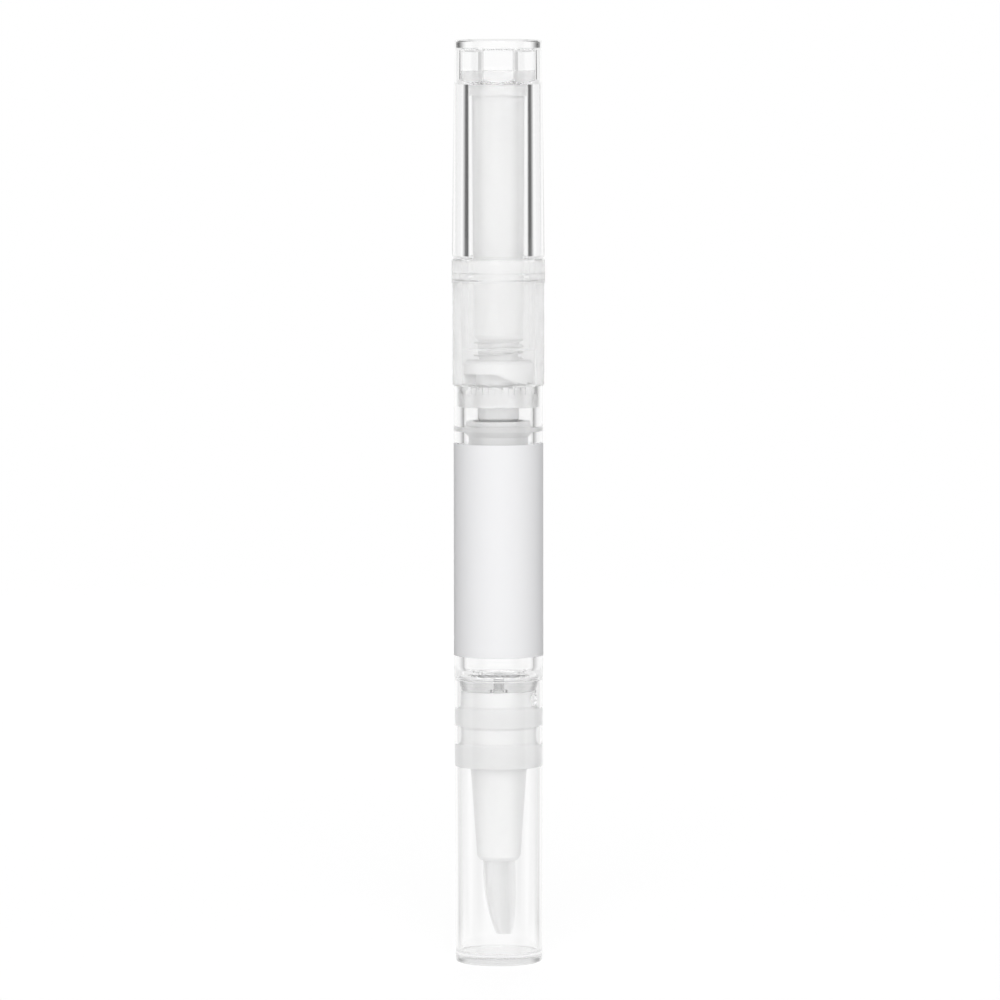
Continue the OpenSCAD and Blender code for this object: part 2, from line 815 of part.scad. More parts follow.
module drive_sleeve() {
    head_d = socket_d - 2 * seat_gap;
    radius = sleeve_d / 2;
    band_r = knob_bore_d / 2 - band_gap;
    color("white")
    difference() {
        union() {
            prism(8, head_d, z_head, z_head_top);
            intersection() {
                prism(8, head_d, z_seat, z_head + seat_gap);
                translate([0, 0, z_seat]) cylinder(
                    r1 = knob_bore_d / 2 - seat_gap, r2 = head_d / 2, h = seat_h + seat_gap
                );
            }
            turned([
                [0, z_tail_top],
                [tail_d / 2, z_tail_top],
                [radius - sleeve_wall / 4, z_tail_top],
                [radius, z_tail_top + tail_cone_h],
                [radius + sleeve_draft, z_sleeve_top],
                [band_r, z_sleeve_top],
                [band_r, z_head],
                [0, z_head],
            ]);
            turned([
                [0, z_rotor_top],
                [tail_d / 2, z_rotor_top],
                [tail_d / 2 + tail_flare, z_tail_top - spring_h / 2],
                [tail_d / 2 + tail_flare, z_tail_top + tail_cone_h],
                [0, z_tail_top + tail_cone_h],
            ]);
            flatted(tail_d / 2, tail_flat_w, z_tail, z_rotor_top + cut);
        }
        hole(tail_bore_r, z_tail, z_tail_top);
        translate([0, 0, z_tail_top + tail_cone_h])
            cylinder(r = sleeve_bore_r, h = z_head_top - head_t - z_tail_top - tail_cone_h);
    }
}

module knob() {
    bearing_r = bearing_d / 2;
    bore_r = knob_bore_d / 2;
    color("white", 0.25)
    difference() {
        turned([
            [0, z_bearing],
            [bearing_r - knob_bevel, z_bearing],
            [bearing_r, z_bearing + knob_bevel],
            [bearing_r, z_snap - snap_h / 2],
            [bearing_r + snap_t, z_snap - snap_h / 4],
            [bearing_r + snap_t, z_snap + snap_h / 4],
            [bearing_r, z_snap + snap_h / 2],
            [bearing_r, z_knob],
            [knob_low_d / 2 - knob_bevel, z_knob],
            [knob_low_d / 2, z_knob + knob_bevel],
            [knob_top_d / 2, z_knob_top - knob_bevel],
            [knob_top_d / 2 - knob_bevel, z_knob_top],
            [0, z_knob_top],
        ]);
        intersection() {
            prism(8, socket_d, z_bearing - cut, z_knob_top + cut);
            turned([
                [0, z_bearing - 2 * cut],
                [bore_r, z_bearing - 2 * cut],
                [bore_r, z_seat],
                [socket_d / 2 + seat_gap, z_head],
                [socket_d / 2 + seat_gap, z_knob_top + 2 * cut],
                [0, z_knob_top + 2 * cut],
            ]);
        }
        translate([0, 0, z_bearing - cut])
            cylinder(r1 = bore_r + cut + knob_bevel, r2 = bore_r, h = cut + 2 * knob_bevel);
    }
}

module end_plug() {
    radius = plug_d / 2;
    top = z_knob_top + plug_t;
    color("white", 0.25)
    turned(concat(
        [
            [0, z_knob_top - boss_h],
            [boss_d / 2, z_knob_top - boss_h],
            [boss_d / 2, z_plug],
            [radius - knob_bevel, z_plug],
            [radius, z_plug + knob_bevel],
        ],
        corner(radius - plug_edge_r, top - plug_dome - plug_edge_r, plug_edge_r, 0, 80),
        [[radius / 2, top - plug_dome / 4], [0, top]]
    ));
}

cap();
barrel();
label_sleeve();
nozzle();
feed_tube();
brush_ferrule();
bristle_tuft();
piston();
screw_rod();
thread_nut();
ratchet_ring();
housing();
ratchet_rotor();
ratchet_spring();
drive_sleeve();
knob();
end_plug();
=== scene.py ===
"""Looks of the nail oil pen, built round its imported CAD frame.

The CAD nodes keep their shapes and get their plastics here. The label film, the brush
nozzle, the piston, the threaded rod, the spring and the brush fibres are modelled here
and stand for their CAD nodes. The studio at the end of the file holds the camera, the
floor, the lamps and the light of the room.
"""

import logging
import math
from dataclasses import dataclass
from enum import Enum
from typing import Any, Callable

import bpy
from mathutils import Matrix, Vector

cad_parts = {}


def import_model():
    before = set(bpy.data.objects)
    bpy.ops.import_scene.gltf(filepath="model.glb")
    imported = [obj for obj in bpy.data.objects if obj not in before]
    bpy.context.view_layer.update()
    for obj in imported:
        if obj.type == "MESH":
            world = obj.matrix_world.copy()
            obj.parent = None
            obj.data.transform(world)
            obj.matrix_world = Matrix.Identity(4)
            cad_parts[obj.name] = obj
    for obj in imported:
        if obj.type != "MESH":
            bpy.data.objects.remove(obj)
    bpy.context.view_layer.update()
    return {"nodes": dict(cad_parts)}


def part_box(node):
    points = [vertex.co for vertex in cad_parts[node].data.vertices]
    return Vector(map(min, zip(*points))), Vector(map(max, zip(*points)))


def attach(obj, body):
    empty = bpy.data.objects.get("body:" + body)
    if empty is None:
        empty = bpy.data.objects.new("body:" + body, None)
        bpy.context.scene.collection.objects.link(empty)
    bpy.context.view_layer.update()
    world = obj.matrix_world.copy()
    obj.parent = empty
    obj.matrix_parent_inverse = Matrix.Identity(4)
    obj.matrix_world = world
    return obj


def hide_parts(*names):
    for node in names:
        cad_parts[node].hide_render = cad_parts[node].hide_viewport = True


LOG = logging.getLogger("nail_oil_pen")
MM = 0.001
WELD = 1e-7
FULL_TURN = 2.0 * math.pi
GOLDEN_ANGLE = math.radians(137.508)
OUT, UP, IN, DOWN = 0.0, 90.0, 180.0, -90.0
SMALL_ARC_STEPS = 3

Rgba = tuple[float, float, float, float]
Triple = tuple[float, float, float]
Point = tuple[float, float]
Piece = bpy.types.Object


def grey(level: float) -> Rgba:
    """A neutral colour."""
    return (level, level, level, 1.0)


WHITE = grey(1.0)


class Body(Enum):
    """The CAD bodies that the new pieces ride on."""

    PEN = "pen"
    KNOB = "knob"
    ROD = "rod"
    PISTON = "piston"


class Slot(Enum):
    """Names of material slots for the new pieces; the pieces get their finishes from Finishes.
    """

    WHITE = "white_plastic"
    MILKY = "milky_plastic"
    FILM = "satin_film"
    STEEL = "spring_steel"
    BRISTLE = "bristle"


@dataclass(frozen=True)
class Noise:
    """Features in a millimetre, octaves of finer noise, and stretch, under 1 to draw it out."""

    per_mm: float
    detail: float = 2.0
    stretch: Triple = (1.0, 1.0, 1.0)


class Wire:
    """One output of a shader node, on which Python's arithmetic adds Math nodes."""

    def __init__(self, graph: "Graph", socket: bpy.types.NodeSocket) -> None:
        """Keeps the socket and the graph that it belongs to."""
        self.graph = graph
        self.socket = socket

    def __getitem__(self, name: str) -> "Wire":
        """Another output of the same node, by its name."""
        return Wire(self.graph, self.socket.node.outputs[name])

    def __add__(self, other: "Wire | float") -> "Wire":
        """Sum."""
        return self.graph.maths("ADD", self, other)

    def __sub__(self, other: "Wire | float") -> "Wire":
        """Difference."""
        return self.graph.maths("SUBTRACT", self, other)

    def __mul__(self, other: "Wire | float") -> "Wire":
        """Product."""
        return self.graph.maths("MULTIPLY", self, other)

    def __truediv__(self, other: "Wire | float") -> "Wire":
        """Quotient."""
        return self.graph.maths("DIVIDE", self, other)

    def __pow__(self, other: "Wire | float") -> "Wire":
        """Power."""
        return self.graph.maths("POWER", self, other)


class Graph:
    """The node tree of one material or world, emptied and ready to be built."""

    def __init__(self, owner: bpy.types.Material | bpy.types.World) -> None:
        """Turns the owner's nodes on and removes the ones that it starts with.

        Args:
            owner: the material or world.
        """
        owner.use_nodes = True
        self.tree = owner.node_tree
        self.tree.nodes.clear()

    def add(
        self,
        kind: str,
        settings: dict[str, Any] | None = None,
        sockets: dict[str | int, Any] | None = None,
    ) -> Wire:
        """Adds a node of any type.

        Args:
            kind: the node's type, such as "ShaderNodeTexNoise".
            settings: its properties, set first. "stops" gives a ramp's places and values.
            sockets: values or wires of its inputs, by name or number.

        Returns:
            The node's first output that is in use.
        """
        node = self.tree.nodes.new(kind)
        for name, value in (settings or {}).items():
            if name == "stops":
                self._set_stops(node, value)
            else:
                setattr(node, name, value)
        for name, value in (sockets or {}).items():
            if isinstance(value, Wire):
                self.tree.links.new(value.socket, node.inputs[name])
            else:
                node.inputs[name].default_value = value
        used = [out for out in node.outputs if out.enabled] or list(node.inputs)
        return Wire(self, used[0])

    @staticmethod
    def _set_stops(node: bpy.types.Node, stops: tuple[Point, ...]) -> None:
        """Gives a colour ramp grey stops.

        Args:
            node: the ramp.
            stops: each stop's place and its grey value.
        """
        elements = node.color_ramp.elements
        while len(elements) < len(stops):
            elements.new(1.0)
        for element, (place, value) in zip(elements, stops, strict=True):
            element.position = place
            element.color = grey(value)

    def maths(self, operation: str, *values: "Wire | float") -> Wire:
        """Adds a Math node on up to three values."""
        return self.add("ShaderNodeMath", {"operation": operation}, dict(enumerate(values)))

    def mix(self, share: "Wire | float", low: "Wire | Rgba", high: "Wire | Rgba") -> Wire:
        """Adds a colour mix.

        Args:
            share: how much of the high colour shows.
            low: colour or wire at a share of 0.
            high: colour or wire at a share of 1.

        Returns:
            The mixed colour.
        """
        node = self.add("ShaderNodeMix", {"data_type": "RGBA"}, {0: share, 6: low, 7: high})
        return node["Result"] if node.socket.name == "Result" else node

    def blend(self, share: "Wire | float", low: Wire, high: Wire) -> Wire:
        """Adds a Mix Shader, which shows the low shader at a share of 0."""
        return self.add("ShaderNodeMixShader", {}, {0: share, 1: low, 2: high})

    def place(self) -> Wire:
        """X, Y and Z of the shaded point in metres, read by their names."""
        coordinates = self.add("ShaderNodeTexCoord")["Object"]
        return self.add("ShaderNodeSeparateXYZ", {}, {"Vector": coordinates})

    def noise(self, pattern: Noise) -> Wire:
        """Adds noise on object coordinates.

        Args:
            pattern: how fine it is and how far it is drawn out.

        Returns:
            A value round 0.5.
        """
        place = self.add("ShaderNodeTexCoord")["Object"]
        scale = [factor * pattern.per_mm / MM for factor in pattern.stretch]
        mapped = self.add("ShaderNodeMapping", {}, {"Vector": place, "Scale": scale})
        sockets = {"Vector": mapped, "Scale": 1.0, "Detail": pattern.detail}
        return self.add("ShaderNodeTexNoise", {}, sockets)

    def ramp(self, value: Wire, stops: tuple[Point, ...]) -> Wire:
        """Grey that follows a value through a ramp's stops."""
        return self.add("ShaderNodeValToRGB", {"stops": stops}, {"Fac": value})

    def between(self, value: Wire, ends_mm: Point) -> Wire:
        """Turns a length into a share.

        Args:
            value: the length, in metres.
            ends_mm: the lengths in millimetres at which the share is 0 and 1.

        Returns:
            The share, held between 0 and 1.
        """
        start, end = (mm * MM for mm in ends_mm)
        sockets = {"Value": value, "From Min": start, "From Max": end}
        return self.add("ShaderNodeMapRange", {}, sockets)

    def bump(self, height: Wire, depth_mm: float) -> Wire:
        """A bumped normal from a height of 0 to 1 that stands for a depth in millimetres."""
        return self.add("ShaderNodeBump", {}, {"Height": height, "Distance": depth_mm * MM})

    def path(self) -> Wire:
        """What the ray that meets the surface has been through, read by name."""
        return self.add("ShaderNodeLightPath")

    def sharp_ray(self, path: Wire) -> Wire:
        """1 for rays that no matt surface has scattered."""
        return self.maths("LESS_THAN", path["Diffuse Depth"], 0.5)

    def clear_ray(self, path: Wire) -> Wire:
        """1 for sharp rays in gloss or through clear plastic."""
        clear = self.maths("MAXIMUM", path["Is Glossy Ray"], path["Is Transmission Ray"])
        return clear * self.sharp_ray(path)


@dataclass(frozen=True)
class Finish:
    """A finish of the pen: even shader values, with what varies added by its subclass.

    A clear finish has a lamp_share, the share of the lamps' light that reaches the
    pieces behind it. Rays that go through more than caught_depth surfaces end in a painted
    glow, an emission of caught_light, or of scattered_light if they come from a matt surface.
    """

    name: str
    tone: float
    roughness: float
    ior: float
    transmission: float = 0.0
    metallic: float = 0.0
    subsurface: float = 0.0
    subsurface_mm: float = 0.6
    lamp_share: float = 0.0
    caught_depth: float = 9.5
    caught_light: float = 0.85
    scattered_light: float = 0.85

    def shader_values(self) -> dict[str, Any]:
        """Lists the even values.

        Returns:
            Values for the shader's sockets.
        """
        values: dict[str, Any] = {
            "Base Color": grey(self.tone),
            "Roughness": self.roughness,
            "IOR": self.ior,
            "Transmission Weight": self.transmission,
            "Metallic": self.metallic,
        }
        if self.subsurface:
            values["Subsurface Weight"] = self.subsurface
            values["Subsurface Radius"] = (1.0, 1.0, 1.0)
            values["Subsurface Scale"] = self.subsurface_mm * MM
        return values

    def vary(self, graph: Graph) -> dict[str, Wire]:
        """What changes over the surface, as wires for the shader's sockets."""
        return {}

    def material(self) -> bpy.types.Material:
        """Builds the Blender material.

        Returns:
            The material, or the one made before under this finish's name.
        """
        made = bpy.data.materials.get(self.name)
        if made is not None:
            return made
        made = bpy.data.materials.new(self.name)
        graph = Graph(made)
        sockets = {**self.shader_values(), **self.vary(graph)}
        shader = graph.add("ShaderNodeBsdfPrincipled", {}, sockets)
        if self.lamp_share:
            shader = self._let_light_through(graph, shader)
        graph.add("ShaderNodeOutputMaterial", {}, {"Surface": shader})
        return made

    def _let_light_through(self, graph: Graph, shader: Wire) -> Wire:
        """Ends caught rays in a painted glow and lets some of the lamps' light through.

        Args:
            graph: the material's nodes.
            shader: the clear plastic.

        Returns:
            The shader for rays of every kind.
        """
        path = graph.path()
        # Painted glow: past caught_depth surfaces a ray ends in an emission instead of lamp
        # light.
        caught = graph.maths("GREATER_THAN", path["Ray Depth"], self.caught_depth)
        sharp = graph.sharp_ray(path)
        light = graph.mix(sharp, grey(self.scattered_light), grey(self.caught_light))
        pale = graph.add("ShaderNodeEmission", {}, {"Color": light})
        shader = graph.blend(caught, shader, pale)
        window = graph.add("ShaderNodeBsdfTransparent", {}, {"Color": grey(self.lamp_share)})
        return graph.blend(path["Is Shadow Ray"], shader, window)


@dataclass(frozen=True)
class ClearStyrene(Finish):
    """Clear polished styrene, with a ground foot and a band of painted shade."""

    tone: float = 0.986
    roughness: float = 0.0
    ior: float = 1.57
    transmission: float = 1.0
    lamp_share: float = 0.06
    waves: Noise = Noise(0.18, 1.0, (1.0, 1.0, 0.25))
    wave_depth_mm: float = 0.003
    foot_mm: float = 0.3
    foot_roughness: float = 0.25
    shaded_band_mm: Point = (0.0, 0.0)
    shaded_band_tone: float = 1.0
    shaded_band_fade_mm: float = 0.2

    def vary(self, graph: Graph) -> dict[str, Wire]:
        """Adds shallow waves along the flow of the melt, the matt foot and the band of painted
        shade.

        Args:
            graph: the material's nodes.

        Returns:
            Wires for the shader's sockets.
        """
        height = graph.place()["Z"]
        matt = graph.maths("LESS_THAN", height / (self.foot_mm * MM), 1.0)
        # Painted shade: the base colour is darker in a band of heights.
        above_low, above_high = (
            graph.between(height, (end - self.shaded_band_fade_mm, end)) for end in self.shaded_band_mm
        )
        painted_shade_grey = grey(self.shaded_band_tone * self.tone)
        return {
            "Base Color": graph.mix(above_low - above_high, grey(self.tone), painted_shade_grey),
            "Roughness": matt * self.foot_roughness,
            "Normal": graph.bump(graph.noise(self.waves), self.wave_depth_mm),
        }


@dataclass(frozen=True)
class Mottled(Finish):
    """A finish that one noise pattern makes uneven, with a relief where it has one."""

    pattern: Noise = Noise(1.0)
    gloss_spread: float = 0.1
    darkest_share: float = 1.0
    relief: Noise | None = None
    relief_mm: float = 0.003
    pattern_relief: float = 0.0

    def vary(self, graph: Graph) -> dict[str, Wire]:
        """Lets the pattern spread the gloss, darken the colour and go into the relief.

        Args:
            graph: the material's nodes.

        Returns:
            Wires for the shader's sockets.
        """
        pattern = graph.noise(self.pattern)
        smoothest = self.roughness - self.gloss_spread / 2.0
        sockets = {"Roughness": pattern * self.gloss_spread + smoothest}
        if self.darkest_share < 1.0:
            darkest = grey(self.darkest_share * self.tone)
            sockets["Base Color"] = graph.mix(pattern, darkest, grey(self.tone))
        if self.relief:
            height = pattern * self.pattern_relief + graph.noise(self.relief)
            sockets["Normal"] = graph.bump(height, self.relief_mm)
        return sockets


@dataclass(frozen=True)
class FrostedPolypropylene(Mottled):
    """Natural translucent polypropylene with a soft haze on a slightly rippled wall."""

    pattern: Noise = Noise(0.5, 3.0)
    gloss_spread: float = 0.08
    relief: Noise | None = Noise(0.35, 2.0, (1.0, 1.0, 0.4))


@dataclass(frozen=True)
class WhitePolypropylene(Mottled):
    """White moulded polypropylene, slightly mottled over a fine mould grain."""

    pattern: Noise = Noise(0.6, 4.0)
    gloss_spread: float = 0.12
    darkest_share: float = 0.965
    relief: Noise | None = Noise(4.0, 3.0)
    relief_mm: float = 0.004


@dataclass(frozen=True)
class SatinFilm(Mottled):
    """Satin white label film with a fine grain and a trace of stretch along the pen."""

    pattern: Noise = Noise(9.0)
    relief: Noise | None = Noise(0.9, 2.0, (1.0, 1.0, 0.12))
    pattern_relief: float = 0.5


@dataclass(frozen=True)
class SpringSteel(Mottled):
    """Drawn spring wire, uneven in gloss."""

    pattern: Noise = Noise(6.0)
    gloss_spread: float = 0.2


@dataclass(frozen=True)
class NylonFibre(Mottled):
    """Pale nylon brush fibre, which changes slightly from fibre to fibre."""

    pattern: Noise = Noise(5.0, 1.0, (1.0, 1.0, 0.05))
    gloss_spread: float = 0.15
    darkest_share: float = 0.94


@dataclass(frozen=True)
class Finishes:
    """All the finishes of the pen."""

    clear: Finish = ClearStyrene("clear_styrene")
    # The barrel and the cap carry a band of painted shade on their solid floors, and rays caught
    # in the barrel after a matt surface end in a bright painted glow.
    barrel: Finish = ClearStyrene(
        "barrel_styrene", shaded_band_mm=(36.6, 38.6), shaded_band_tone=0.72, scattered_light=2.0
    )
    cap: Finish = ClearStyrene("cap_styrene", shaded_band_mm=(-1.0, 1.2), shaded_band_tone=0.88)
    frosted: Finish = FrostedPolypropylene(
        "frosted_polypropylene",
        tone=0.97, roughness=0.09, ior=1.49, transmission=0.8, lamp_share=0.52,
    )
    milky: Finish = WhitePolypropylene(
        "milky_polyethylene", tone=0.77, roughness=0.3, ior=1.5, subsurface=0.8
    )
    white: Finish = WhitePolypropylene(
        "white_polypropylene", tone=0.9, roughness=0.38, ior=1.49, subsurface=0.6
    )
    # A darker copy of the white polypropylene: painted shade for the sleeve behind the clear
    # walls.
    sleeve: Finish = WhitePolypropylene(
        "shaded_sleeve_polypropylene", tone=0.855, roughness=0.38, ior=1.49, subsurface=0.6
    )
    acetal: Finish = WhitePolypropylene(
        "natural_acetal", tone=0.76, roughness=0.35, ior=1.48, subsurface=0.6
    )
    film: Finish = SatinFilm(
        "satin_film", tone=0.93, roughness=0.42, ior=1.5, subsurface=0.9
    )
    steel: Finish = SpringSteel(
        "spring_wire", tone=0.7, roughness=0.3, ior=1.5, metallic=1.0
    )
    fibre: Finish = NylonFibre("nylon_fibre", tone=0.96, roughness=0.405, ior=1.53)


def dress(frame: dict[str, Any], finish: Finish, *nodes: str) -> None:
    """Gives CAD nodes their finish through their material slots.

    Args:
        finish: the finish.
        nodes: the nodes' names.
    """
    material = finish.material()
    for node in nodes:
        for slot in frame["nodes"][node].material_slots:
            slot.material = material
        LOG.info("%s: CAD node in %s", node, finish.name)


def deselect_all() -> None:
    """Leaves object mode with nothing selected, because loading leaves nodes selected."""
    if bpy.context.mode != "OBJECT":
        bpy.ops.object.mode_set(mode="OBJECT")
    bpy.ops.object.select_all(action="DESELECT")


def pick(*pieces: Piece) -> None:
    """Selects only some pieces in object mode and makes the first of them active.

    Args:
        pieces: the pieces.
    """
    deselect_all()
    for piece in pieces:
        piece.select_set(True)
    bpy.context.view_layer.objects.active = pieces[0]


def edit_all(piece: Piece) -> None:
    """Opens a piece in edit mode with all of it selected.

    Args:
        piece: the piece.
    """
    pick(piece)
    bpy.ops.object.mode_set(mode="EDIT")
    bpy.ops.mesh.select_all(action="SELECT")


def edit_points(piece: Piece, wanted: Callable[[Vector], bool]) -> None:
    """Opens a piece in edit mode with only the wanted points selected.

    Args:
        piece: the piece.
        wanted: tells from a point's place whether it is wanted.
    """
    edit_all(piece)
    bpy.ops.mesh.select_all(action="DESELECT")
    pick(piece)
    for vertex in piece.data.vertices:
        vertex.select = wanted(vertex.co)
    bpy.ops.object.mode_set(mode="EDIT")


def place_in_mesh(piece: Piece) -> None:
    """Moves a piece's place, turn and scale into its mesh, and its object to the origin."""
    pick(piece)
    bpy.ops.object.transform_apply(location=True, rotation=True, scale=True)


def join(pieces: list[Piece]) -> Piece:
    """Joins pieces.

    Args:
        pieces: the pieces; the others become part of the first.

    Returns:
        The joined piece.
    """
    pick(*pieces)
    bpy.ops.object.join()
    return bpy.context.view_layer.objects.active


def apply_modifier(piece: Piece, kind: str, **settings: Any) -> None:
    """Puts a modifier on a piece and applies it.

    Args:
        piece: the piece.
        kind: the modifier's type, such as "SCREW".
        settings: its properties.
    """
    pick(piece)
    modifier = piece.modifiers.new(kind.lower(), kind)
    for name, value in settings.items():
        setattr(modifier, name, value)
    bpy.ops.object.modifier_apply(modifier=modifier.name)


def smooth(piece: Piece, angle_deg: float) -> None:
    """Shades a piece smooth wherever its faces meet at less than an angle."""
    pick(piece)
    bpy.ops.object.shade_smooth_by_angle(angle=math.radians(angle_deg))


def tidy_shell(piece: Piece, smooth_deg: float = 35.0) -> Piece:
    """Merges a shell's doubles, closes its holes, turns its faces outward and smooths it.

    Args:
        piece: the shell.
        smooth_deg: the angle between faces under which an edge is smooth.

    Returns:
        The same piece.
    """
    edit_all(piece)
    bpy.ops.mesh.remove_doubles(threshold=WELD)
    bpy.ops.mesh.fill_holes(sides=0)
    bpy.ops.mesh.select_all(action="SELECT")
    bpy.ops.mesh.normals_make_consistent(inside=False)
    smooth(piece, smooth_deg)
    return piece


def arc(
    x: float, z: float, radius: float, start: float, end: float, steps: int = 5
) -> list[Point]:
    """Points of a rounded corner.

    Args:
        x: radius at which its centre lies.
        z: height of its centre.
        radius: its own radius.
        start: first angle in degrees, 0 outward and 90 up.
        end: last angle in degrees.
        steps: how many parts it has.

    Returns:
        The points from start to end.
    """
    turns = [math.radians(start + (end - start) * i / steps) for i in range(steps + 1)]
    return [(x + radius * math.cos(turn), z + radius * math.sin(turn)) for turn in turns]


def drawn(outline: list[Point]) -> Piece:
    """Draws an outline as a line of edges.

    Args:
        outline: radius and height of each point in millimetres; the last is the first if closed.

    Returns:
        The line's object, in the plane of X and Z.
    """
    deselect_all()
    x, z = outline[0]
    bpy.ops.mesh.primitive_plane_add(size=MM, location=(x * MM, 0.0, z * MM))
    line = bpy.context.active_object
    bpy.ops.object.mode_set(mode="EDIT")
    bpy.ops.mesh.select_all(action="SELECT")
    bpy.ops.mesh.merge(type="CENTER")
    for next_x, next_z in outline[1:]:
        step = ((next_x - x) * MM, 0.0, (next_z - z) * MM)
        bpy.ops.mesh.extrude_vertices_move(TRANSFORM_OT_translate={"value": step})
        x, z = next_x, next_z
    bpy.ops.mesh.select_all(action="SELECT")
    bpy.ops.mesh.remove_doubles(threshold=WELD)
    place_in_mesh(line)
    return line


def turned(outline: list[Point], steps: int = 96, turn: float = FULL_TURN) -> Piece:
    """Turns an outline round the pen's axis into a closed shell.

    Args:
        outline: radius and height of each point in millimetres, from the axis or closed here.
        steps: how many parts the turn has.
        turn: how far it goes round.

    Returns:
        The shell's object.
    """
    shell = drawn(outline if outline[0][0] == 0.0 else outline + outline[:1])
    edit_all(shell)
    bpy.ops.mesh.spin(steps=steps, angle=turn, center=(0.0, 0.0, 0.0), axis=(0.0, 0.0, 1.0))
    return tidy_shell(shell)


def finish_piece(piece: Piece, name: str, body: Body, finish: Finish) -> None:
    """Names and dresses a new piece and puts it on its body.

    Args:
        piece: the modelled mesh object.
        name: its name.
        body: the CAD body that it rides on.
        finish: its finish.
    """
    place_in_mesh(piece)
    piece.name = name
    piece.data.name = name
    piece.data.materials.clear()
    piece.data.materials.append(finish.material())
    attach(piece, body.value)
    LOG.info("%s: %d faces on body %s", name, len(piece.data.polygons), body.value)


@dataclass
class Label:
    """The satin film, wrapped once round the barrel with a butt seam at its back."""

    outer_r_mm: float = 6.0
    thickness_mm: float = 0.12
    edge_mm: float = 0.03
    seam_mm: float = 0.09
    steps: int = 120

    def build(self, finishes: Finishes) -> None:
        """Builds the film in place of its CAD node.

        Args:
            finishes: the pen's finishes.
        """
        low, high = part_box("label_sleeve")
        bottom, top = low.z / MM, high.z / MM
        outer, edge = self.outer_r_mm, self.edge_mm
        inner = outer - self.thickness_mm
        seam = self.seam_mm / outer
        film = turned([
            (inner, bottom), (outer - edge, bottom), (outer, bottom + edge),
            (outer, top - edge), (outer - edge, top), (inner, top),
        ], self.steps, FULL_TURN - seam)
        film.rotation_euler.z = (math.pi + seam) / 2.0
        finish_piece(film, "label_film", Body.PEN, finishes.film)
        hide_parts("label_sleeve")


@dataclass
class Nozzle:
    """The brush nozzle, with its sealing beads pressed on the cap's wall."""

    bead_r_mm: float = 5.415
    bead_z_mm: Point = (31.7, 34.6)
    slope_mm: float = 0.3
    slope_deg: float = 50.0
    collar_r_mm: float = 5.05
    waist_r_mm: float = 5.05
    hollow_mm: float = 0.06
    rounding_mm: float = 0.14
    edge_mm: float = 0.1
    flange_z_mm: Point = (26.4, 29.7)
    cone_r_mm: float = 3.77
    cone_end_r_mm: float = 2.9
    cone_end_rise_mm: float = 0.55
    cone_end_rounding_mm: float = 0.12
    cone_end_deg: float = 40.0
    tip_r_mm: float = 2.5
    bore_r_mm: float = 2.2
    ferrule_z_mm: float = 19.56
    web_r_mm: float = 2.03
    web_z_mm: Point = (30.22, 31.52)
    channel_r_mm: float = 0.78
    neck_r_mm: float = 4.08
    stud_r_mm: float = 0.93
    stud_z_mm: float = 35.6
    stud_turn_deg: float = -27.0
    drill_sides: int = 48
    drill_share: float = 2.5

    def build(self, finishes: Finishes) -> None:
        """Turns the nozzle and drills the holes of the two studs.

        Args:
            finishes: the pen's finishes.
        """
        low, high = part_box("nozzle")
        nozzle = turned(self._outline(low.z / MM, high.z / MM))
        deselect_all()
        bpy.ops.mesh.primitive_cylinder_add(
            vertices=self.drill_sides, radius=self.stud_r_mm * MM,
            depth=self.drill_share * self.bead_r_mm * MM,
            location=(0.0, 0.0, self.stud_z_mm * MM),
            rotation=(0.0, math.pi / 2.0, math.radians(self.stud_turn_deg)),
        )
        drill = bpy.context.active_object
        apply_modifier(nozzle, "BOOLEAN", object=drill, operation="DIFFERENCE", solver="EXACT")
        bpy.data.objects.remove(drill)
        tidy_shell(nozzle)
        finish_piece(nozzle, "brush_nozzle", Body.PEN, finishes.white)
        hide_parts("nozzle")

    def _outline(self, bottom: float, top: float) -> list[Point]:
        """The nozzle's outline from the bore's end round the outside and back inside.

        Args:
            bottom: height of the tip in millimetres.
            top: height of the collar's top in millimetres.

        Returns:
            Its points.
        """
        bead, waist, collar = self.bead_r_mm, self.waist_r_mm, self.collar_r_mm
        rounding, edge, slope = self.rounding_mm, self.edge_mm, self.slope_mm
        end_rounding, angle = self.cone_end_rounding_mm, self.slope_deg
        bead_low, bead_high = self.bead_z_mm
        flange_low, flange_high = self.flange_z_mm
        web_low, web_high = self.web_z_mm
        return [
            (self.bore_r_mm, bottom),
            (self.tip_r_mm, bottom),
            *arc(
                self.cone_end_r_mm - end_rounding, bottom + self.cone_end_rise_mm,
                end_rounding, -self.cone_end_deg, OUT, SMALL_ARC_STEPS,
            ),
            (self.cone_r_mm, flange_low - edge),
            (self.cone_r_mm + edge, flange_low),
            *arc(bead - edge, flange_low + edge, edge, DOWN, OUT, SMALL_ARC_STEPS),
            *arc(bead - rounding, flange_high - slope, rounding, OUT, angle),
            *arc(waist + rounding, flange_high + rounding, rounding, IN + angle, IN),
            (waist - self.hollow_mm, (bead_low + flange_high) / 2.0),
            *arc(waist + rounding, bead_low - rounding, rounding, IN, IN - angle),
            *arc(bead - rounding, bead_low + slope, rounding, -angle, OUT),
            *arc(bead - rounding, bead_high - slope, rounding, OUT, angle),
            *arc(collar + rounding, bead_high + rounding, rounding, IN + angle, IN),
            *arc(collar - edge, top - edge, edge, OUT, UP, SMALL_ARC_STEPS),
            (self.neck_r_mm, top),
            (self.neck_r_mm, web_high),
            (self.channel_r_mm, web_high),
            (self.channel_r_mm, web_low),
            (self.web_r_mm, web_low),
            (self.bore_r_mm, self.ferrule_z_mm),
        ]


